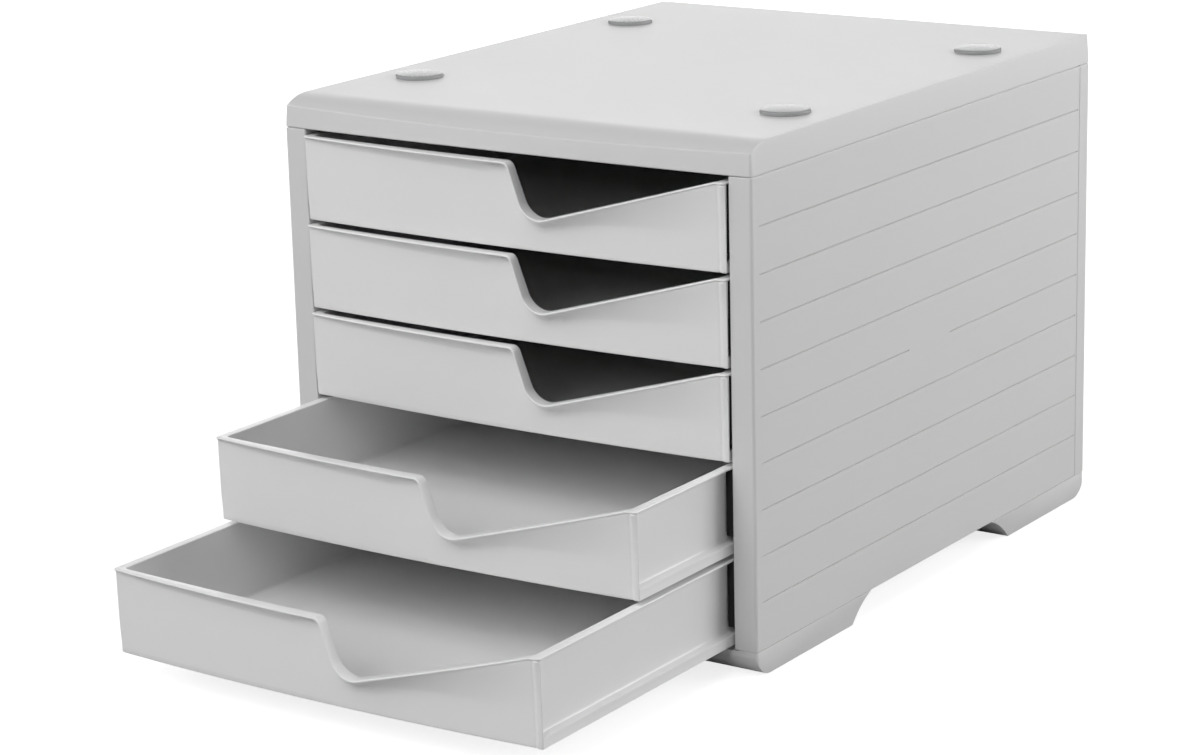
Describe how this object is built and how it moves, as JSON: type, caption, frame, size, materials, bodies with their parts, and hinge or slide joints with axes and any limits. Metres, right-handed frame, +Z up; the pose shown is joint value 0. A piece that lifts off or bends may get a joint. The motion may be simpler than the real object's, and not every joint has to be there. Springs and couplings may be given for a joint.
{
  "type": "desktop file drawer box",
  "caption": "Free-standing desk box of light grey plastic with sliding file trays, a scooped grip in each bowed front, grooved sides and stacking pads.",
  "frame": {"origin": "on the desk, under the middle of the case's footprint", "axes": "+Z up, the trays open towards -Y, +X to the right hand of someone who faces the fronts"},
  "size_m": [0.268, 0.499, 0.2553],
  "materials": {
    "shell": "fine matt moulded plastic",
    "tray": "satin moulded plastic",
    "inner_dark": "matt moulded plastic",
    "pad": "glossy moulded plastic",
    "grip": "soft matt rubber"
  },
  "bodies": {
    "case": {"top_cover": "shell", "left_side_panel": "shell", "right_side_panel": "shell", "rear_panel": "shell", "front_plinth": "shell", "rear_plinth": "shell", "base_floor": "shell", "left_runner_plate": "inner_dark", "right_runner_plate": "inner_dark", "stacking_pad_front_left": "pad", "stacking_pad_front_right": "pad", "stacking_pad_rear_left": "pad", "stacking_pad_rear_right": "pad", "anti_slip_foot_front_left": "grip", "anti_slip_foot_front_right": "grip", "anti_slip_foot_rear_left": "grip", "anti_slip_foot_rear_right": "grip"},
    "tray_1": {"drawer_1": "tray"},
    "tray_2": {"drawer_2": "tray"},
    "tray_3": {"drawer_3": "tray"},
    "tray_4": {"drawer_4": "tray"},
    "tray_5": {"drawer_5": "tray"}
  },
  "joints": [
    {"name": "tray_1_slide", "type": "slide", "parent": "case", "child": "tray_1", "axis": [0, -1, 0], "range_m": [0, 0.215]},
    {"name": "tray_2_slide", "type": "slide", "parent": "case", "child": "tray_2", "axis": [0, -1, 0], "range_m": [0, 0.215]},
    {"name": "tray_3_slide", "type": "slide", "parent": "case", "child": "tray_3", "axis": [0, -1, 0], "range_m": [0, 0.215]},
    {"name": "tray_4_slide", "type": "slide", "parent": "case", "child": "tray_4", "axis": [0, -1, 0], "range_m": [-0.076, 0.139]},
    {"name": "tray_5_slide", "type": "slide", "parent": "case", "child": "tray_5", "axis": [0, -1, 0], "range_m": [-0.152, 0.063]}
  ]
}
